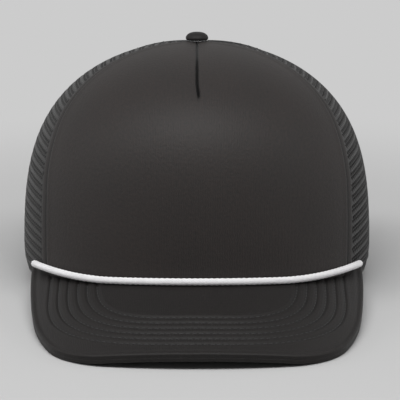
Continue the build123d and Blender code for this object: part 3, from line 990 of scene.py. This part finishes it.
def make_sweatband():
    """The sweatband, turned up inside the hem from one end of the arch to the other."""
    heights, insets = np.array(band_profile).T
    steps = np.concatenate([[0], np.cumsum(np.hypot(np.diff(heights), np.diff(insets)))])

    def place(row, column_shares):
        length = steps[-1] * row
        height = float(np.interp(length, steps, heights))
        inset = float(np.interp(length, steps, insets))
        rise = max(height, 0.0) / crown_height
        end = back_panel_edge(rise) + 0.02
        angle = (column_shares * 2 - 1) * end
        lift = hem_height(angle)
        points = crown_point(angle, rise + lift / crown_height, inset + 0 * angle)
        points += np.outer(np.full(len(angle), min(height, 0.0) * mm), head_up)
        return points, np.column_stack([angle * band_radius, length + 0 * angle]) * mm, 0 * angle

    mesh = lay_grid("sweatband", 220, 36, place)
    band = finish_piece(mesh, "sweatband", band_cloth, slot="sweatband",
                        replaces=["sweatband", "sweatband_padding"])
    thicken(band, band_thickness, 0.0)


fold_profile = [(11.0, 0.35), (9.5, -0.45), (7.0, -0.6), (4.0, -0.6), (1.6, -0.6), (0.5, -0.3),
                (0.0, 0.5), (0.0, 1.4), (0.5, 2.1), (1.6, 2.4), (4.0, 2.4), (7.0, 2.4),
                (9.5, 2.3), (11.0, 1.7)]
binding_inside = 2.4
binding_thickness = 0.55
binding_length = 172
pucker_depth = 0.12
pucker_radians = 150


def make_binding():
    """The binding folded over the edge of the arch, with two rows of stitches."""
    offs, insets = np.array(fold_profile).T
    steps = np.concatenate([[0], np.cumsum(np.hypot(np.diff(offs), np.diff(insets)))])

    def round_arch(turn, off, inset):
        across = (arch_half_width + off) * np.cos(turn)
        height = (arch_height + off) * np.sin(turn)
        return back_point(across, height, inset)

    def place(row, column_shares):
        length = steps[-1] * row
        off = np.interp(length, steps, offs)
        inset = np.interp(length, steps, insets)
        turn = math.pi * (1 - column_shares)
        pucker = pucker_depth * np.sin(column_shares * pucker_radians)
        points = round_arch(turn, off, inset + pucker * hump(off - binding_width / 2, 3.5))
        cloth = np.column_stack([length + 0 * turn, column_shares * binding_length]) * mm
        return points, cloth, 0 * turn

    sew_sheet("opening_binding", 160, 26, place, tape_cloth, binding_thickness, slot="tape",
              replaces=["opening_binding"])
    rows = []
    for off in (2.0, 9.0):
        turn = np.linspace(0.05, math.pi - 0.05, 400)
        points = round_arch(turn, off, -0.62)
        rows += stitches_along(points, out_of_crown(points), length=2.3, gap=0.8, sink=0.16)
    cloth_yarns("binding_stitches", rows, thread_radius, 1, thread, slot="tape")


def up_the_crown(edge, climb, start, end, inset, across=0.0, side=1):
    """A line up the crown beside an edge, a distance across from it, as points."""
    lengths = np.linspace(start, end, 160)
    rises = climb.rise_at(lengths)
    rings = [Ring(rise) for rise in rises]
    angles = np.array([float(ring.angle_at(ring.length_at(edge(rise)) + across))
                       for ring, rise in zip(rings, rises)])
    return crown_point(angles * side, rises, inset)


def round_the_crown(height, inset, start, end, side=1):
    """A line round the crown at a height over its hem, as points."""
    angles = np.linspace(start, end, 240) * side
    return crown_point(angles, (height + hem_height(angles)) / crown_height, inset)


def round_to_arch(height, inset, start, side, short=0.01):
    """A line round the crown at a height, from an angle to just short of the arch."""
    end = float(back_panel_edge(height / crown_height)) - short
    return round_the_crown(height, inset, start, end, side)


welt_radius = 0.55
welt_inset = 0.75

# How far from a seam its stitches run, outside beside the welt and inside across the tape
beside_welt = 2.2
across_tape = 4.6

# How far in from the crown's face the stitches lie on each layer
on_mesh = 0.72
on_side_tape = 2.28
on_front_tape = 4.66

# Up from the hem: where the tapes' stitches start along the cloth, the height of the hem's own
# row, and the height and inset of the sweatband's two rows
over_band = 34
hem_stitch_height = 6.5
band_rows = [(30.0, 7.5), (4.0, 6.2)]


def make_seams():
    """The welts and stitches that join the panels outside, and the stitches of the tapes inside."""
    top = back_climb.length[-1]
    side_top = side_climb.length[-1] - 12
    welts, outer, inner = [], [], []
    for side in (1, -1):
        welts.append(up_the_crown(side_seam, back_climb, 0.5, top - 4, welt_inset, 0.0, side))
        for off in (-beside_welt, beside_welt):
            outer.append(up_the_crown(side_seam, back_climb, 1, top - 6, on_mesh, off, side))
        for off in (-across_tape, across_tape):
            inner.append(up_the_crown(side_seam, back_climb, over_band, top - 8,
                                      on_side_tape, off, side))
            inner.append(up_the_crown(edge_angle, side_climb, over_band, side_top,
                                      on_front_tape, off, side))
        outer.append(up_the_crown(back_middle, back_climb, over_arch, top - 6,
                                  on_mesh, -beside_welt, side))
        inner.append(up_the_crown(back_middle, back_climb, over_arch, top - 10,
                                  on_side_tape, -across_tape, side))
        front_edge = float(edge_angle(hem_stitch_height / crown_height))
        outer.append(round_to_arch(hem_stitch_height, on_mesh, front_edge, side, 0.0))
        for height, inset in band_rows:
            inner.append(round_to_arch(height, inset, 0.0, side))
    welts.append(up_the_crown(back_middle, back_climb, over_arch, top - 4, welt_inset))
    cloth_yarns("mesh_seam_welts", welts, welt_radius, 2, tape_cloth, slot="tape")
    outside, inside = [], []
    for seam in outer:
        outside += stitches_along(seam, out_of_crown(seam), length=2.2, gap=0.9, sink=0.15)
    for seam in inner:
        inside += stitches_along(seam, -out_of_crown(seam), length=2.4, gap=1.0, sink=0.15)
    cloth_yarns("mesh_seam_stitches", outside, thread_radius, 1, thread, slot="tape")
    cloth_yarns("inside_stitches", inside, thread_radius, 1, thread, slot="tape")


# Hinge webs of the snap strap ------------

strap_bottom = 2.5
strap_height = 18.0
strap_radius = 130.0
strap_thickness = 1.3
strap_gap = 0.35
hinge_reach = 43.5
web_reach = 2.2
web_thickness = 1.0
web_sink = 0.02
web_groove = 0.28
bend_reach = 0.8


def strap_lean(across, face, root_side, root_back):
    """How far back of its hinge a strap lies at a distance across: on its own curve inside the
    hinge, and along the crown's wall outside it."""
    if across < hinge_reach:
        return math.sqrt(face**2 - across**2) - math.sqrt(face**2 - hinge_reach**2)
    return root_back * (math.sqrt(1 - (across / root_side) ** 2)
                        - math.sqrt(1 - (hinge_reach / root_side) ** 2))


def make_strap_webs():
    """The thin web that bends between each strap and its sewn end."""
    rise = (strap_bottom + strap_height / 2) / crown_height
    under = strap_thickness + strap_gap
    for name, side, joint in (("hole_strap", 1, 0), ("peg_strap", -1, 1)):
        hinge = Vector(frame["joints"][joint]["pos_m"])
        layer = 0.0 if side > 0 else under
        inset = binding_inside + strap_gap + layer
        root_side = float(reach(crown_side, side_fullness, rise, inset))
        root_back = float(reach(crown_back, back_fullness, rise, inset))
        web = bmesh.new()
        bmesh.ops.create_grid(web, x_segments=12, y_segments=1, size=0.5)
        for vert in web.verts:
            out = vert.co.x * 2 * web_reach
            lean = strap_lean(hinge_reach + out, strap_radius - layer, root_side, root_back)
            sunk = web_sink + web_groove * math.exp(-((out / bend_reach) ** 2))
            off = lean + strap_thickness / 2 - sunk
            up = vert.co.y * (strap_height - 0.1)
            vert.co = hinge + (Vector((side * out, 0, 0)) + head_back * off + head_up * up) * mm
        mesh = face_outwards(mesh_from(web, f"{name}_web"), crown_middle)
        piece = place_piece(mesh, f"{name}_web", strap_plastic)
        thicken(piece, web_thickness)
        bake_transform(piece)


# Brim ------------------------------------

root_reach = float(reach(crown_front, front_fullness, brim_root_height / crown_height, 0.0))
root_along = (root_reach - ear_reach) / math.cos(brim_slope)
ridge_height = brim_root_height + root_along * math.sin(brim_slope)


def brim_local(across, along, below=0.0):
    """Depth and height of a place on the brim, or below its top."""
    here = ear_droop + (front_droop - ear_droop) * along / brim_length
    drop = here * (across / droop_half_width) ** 2 + below
    depth = -ear_reach - along * math.cos(brim_slope) + drop * math.sin(brim_slope)
    height = ridge_height - along * math.sin(brim_slope) - drop * math.cos(brim_slope)
    return depth, height


def brim_outline():
    """Half the brim's outline, as arcs that each go on from the last."""
    turn = np.linspace(0, math.asin(brim_front_half / brim_front_radius), 40)
    front = brim_length - brim_front_radius * (1 - np.cos(turn))
    route = [np.column_stack([brim_front_radius * np.sin(turn), front])]
    heading = -turn[-1]
    for place in brim_side:
        start = route[-1][-1]
        chord = np.array(place) - start
        bend = math.atan2(chord[1], chord[0]) - heading
        share = np.linspace(0, 1, 40)[1:, None]
        size = np.hypot(*chord) / math.sin(bend) * np.sin(share * bend)
        way = heading + share * bend
        route.append(start + size * np.hstack([np.cos(way), np.sin(way)]))
        heading += 2 * bend
    return np.vstack(route)


outline = brim_outline()
outline_turn = np.arctan2(outline[:, 0], outline[:, 1])
outline_reach = np.hypot(outline[:, 0], outline[:, 1])


def seam_reach(turn, inset):
    """How far out from the brim's root the crown's wall is, in each direction on the brim."""
    near, far = np.full(turn.shape, 5.0), np.full(turn.shape, 140.0)
    for _ in range(40):
        middle = (near + far) / 2
        across, along = middle * np.sin(turn), middle * np.cos(turn)
        depth, height = brim_local(across, along)
        rise = np.clip(height, 0, None) / (crown_height - inset)
        side = reach(crown_side, side_fullness, rise, inset)
        front = reach(crown_front, front_fullness, rise, inset)
        within = (across / side) ** 2 + (depth / front) ** 2 < 1
        near, far = np.where(within, middle, near), np.where(within, far, middle)
    return near


row_half_width = 74.5
row_front = 126.5
row_bend_start = 50.0
row_bulge = 3.2
row_spacing = 4.85
row_count = 6
row_depth = 0.6
row_swell = 0.16
stitch_depth = 0.56
cover_thickness = 0.6
rim_share = 0.94


def row_place(across, along):
    """How far in from the outermost row of stitches a place on the brim is."""
    wide = np.abs(across) / row_half_width
    front = row_front - across**2 / (2 * brim_front_radius)
    far = np.clip(along - row_bend_start, 0, None) / (front - row_bend_start)
    return (1 - (wide**row_bulge + far**row_bulge) ** (1 / row_bulge)) * row_half_width


def quilting(across, along):
    """How far the cover dips at the rows of stitches and swells between them, and the painted shade in the groove
    at each row.
    """
    place = row_place(across, along)
    nearest = np.clip(np.rint(place / row_spacing), 0, row_count - 1) * row_spacing
    off = place - nearest
    swell = row_swell * hump(np.abs(off) - 1.9, 1.0) * (np.abs(off) < 4)
    return row_depth * hump(off, 0.75) - swell, hump(off, 0.45)


def stitched_row(number):
    """One row of stitches round the brim, from ear to ear, as places across and along it."""
    share = 1 - number * row_spacing / row_half_width
    turn = np.linspace(0, math.pi / 2, 240)
    straight = np.linspace(0, row_bend_start, 60)[:-1]
    across = row_half_width * share * np.cos(turn) ** (2 / row_bulge)
    front = row_front - across**2 / (2 * brim_front_radius)
    along = row_bend_start + (front - row_bend_start) * share * np.sin(turn) ** (2 / row_bulge)
    across = np.concatenate([np.full(len(straight), across[0]), across])
    along = np.concatenate([straight, along])
    outside = np.hypot(across, along) > seam_reach(np.arctan2(across, along), -1.0)
    across, along = across[outside], along[outside]
    return np.concatenate([across, -across[-2::-1]]), np.concatenate([along, along[-2::-1]])


def stitched_lines(number, under):
    """The stitches of one row, on top of the brim or underneath."""
    across, along = stitched_row(number)
    below = brim_thickness - stitch_depth if under else stitch_depth
    points = to_frame(across, *brim_local(across, along, below))
    normals = np.outer(np.full(len(points), -1.0 if under else 1.0), head_up)
    return stitches_along(points, normals, length=2.3, gap=0.9, sink=0.16)


def cover_row(under):
    """One row of a cover, from ear to ear: rows go out from the crown, then over the rim."""
    turns = np.linspace(0, outline_turn[-1], 400)
    meets = seam_reach(turns, 1.5) < np.interp(turns, outline_turn, outline_reach)
    last = turns[meets][-1]

    def place(row, column_shares):
        turn = (column_shares * 2 - 1) * last
        inner = seam_reach(np.abs(turn), 1.5)
        outer = np.interp(np.abs(turn), outline_turn, outline_reach)
        share = min(row / rim_share, 1.0)
        spread = inner + (outer - 0.5 - inner) * share
        below = 0.0
        dip = 0.0
        edge_share = max(0.0, (row - rim_share) / (1 - rim_share))
        if edge_share > 0:
            spread = spread + np.interp(edge_share, [0, 0.2, 0.5, 1], [0, 0.42, 0.5, 0.5])
            below = np.interp(edge_share, [0, 0.2, 0.5, 1], [0, 0.2, 0.9, brim_thickness / 2])
        across, along = spread * np.sin(turn), spread * np.cos(turn)
        recess_shade = 0 * turn
        if edge_share == 0:
            # The quilting gives painted shade in the groove at each row of stitches, at 0.7 of full strength.
            dip, recess_shade = quilting(across, along)
            ridge = outer - spread
            dip = dip + 0.35 * hump(ridge - 3.2, 1.2) - 0.25 * hump(ridge - 0.8, 1.1)
        off = below + dip
        if under:
            off = brim_thickness - off
        cloth = np.column_stack([across, along + below]) * mm
        return to_frame(across, *brim_local(across, along, off)), cloth, recess_shade * 0.7

    return place


def make_brim():
    """The two quilted covers, which hide the board's faces, and their stitches."""
    above = Vector(to_frame(0.0, -100.0, 400.0)[0])
    below = Vector(to_frame(0.0, -100.0, -400.0)[0])
    top = sew_sheet("brim_top_cover", 300, 130, cover_row(False), brim_cloth, cover_thickness,
                    below, slot="brim_cloth", replaces=["brim_top_cover", "brim_foam"])
    sew_sheet("brim_under_cover", 220, 100, cover_row(True), brim_cloth, cover_thickness,
              above, slot="brim_cloth", replaces=["brim_under_cover"])
    for side, under in (("top", False), ("under", True)):
        lines = [line for number in range(row_count) for line in stitched_lines(number, under)]
        cloth_yarns(f"brim_{side}_stitches", lines, thread_radius, 1, thread, slot="brim_cloth")


# Rope ------------------------------------

plait_pitch = 11.0
plait_yarns = 8
plait_reach = 1.32
plait_weave = 0.1
plait_yarn_radius = 0.42
rope_core_radius = 1.42


def rope_route(steps):
    """The middle of the rope, in the corner between the brim and the crown."""
    off = rope_radius + rope_gap
    end = math.acos(rope_end_reach / (crown_front + off))
    angle = np.linspace(-end, end, steps)
    lift = rope_end_lift * smooth(rope_lift_start, 1.0, np.abs(angle) / end)
    height = np.full(steps, brim_root_height)
    for _ in range(30):
        rise = np.clip(height, 0, None) / (crown_height + off)
        across = reach(crown_side, side_fullness, rise, -off) * np.sin(angle)
        depth = -reach(crown_front, front_fullness, rise, -off) * np.cos(angle)
        along = (-ear_reach - depth) / math.cos(brim_slope)
        for _ in range(5):
            here = ear_droop + (front_droop - ear_droop) * along / brim_length
            drop = here * (across / droop_half_width) ** 2
            along = (-ear_reach - depth + drop * math.sin(brim_slope)) / math.cos(brim_slope)
        height = brim_local(across, along)[1] + off
    return to_frame(across, depth, height + lift)


def make_rope():
    """Yarns plaited over and under each other round a core."""
    route = rope_route(620)
    steps = np.linalg.norm(np.diff(route, axis=0), axis=1)
    turns = np.concatenate([[0], np.cumsum(steps)]) * 2 * math.pi / (plait_pitch * mm)
    ahead = np.gradient(route, axis=0)
    ahead /= np.linalg.norm(ahead, axis=1)[:, None]
    side = np.cross(ahead, np.array(head_up))
    side /= np.linalg.norm(side, axis=1)[:, None]
    up = np.cross(side, ahead)
    plait = []
    for way in (1, -1):
        over = plait_reach + plait_weave * way * np.cos(4 * turns + way * math.pi / 2)
        for yarn in range(plait_yarns):
            turn = (way * turns + 2 * math.pi * yarn / plait_yarns)[:, None]
            plait.append(route + (np.cos(turn) * side + np.sin(turn) * up) * over[:, None] * mm)
    cloth_yarns("brim_rope", plait, plait_yarn_radius, 1, rope_cotton, slot="rope",
                replaces=["brim_rope"])
    cloth_yarns("rope_core", [route], rope_core_radius, 3, rope_cotton, slot="rope")


# The finished cap ------------------------

set_camera()
set_studio()
make_front()
make_net()
make_tapes()
make_button()
make_sweatband()
make_binding()
make_seams()
make_strap_webs()
make_brim()
make_rope()

for node, material in (
    ("brim_board", board_plastic),
    ("button_shell", button_metal),
    ("button_back", button_metal),
    ("hole_strap", strap_plastic),
    ("hole_strap_tab", strap_plastic),
    ("peg_strap", strap_plastic),
    ("peg_strap_tab", strap_plastic),
):
    for place in frame["nodes"][node].material_slots:
        place.material = material
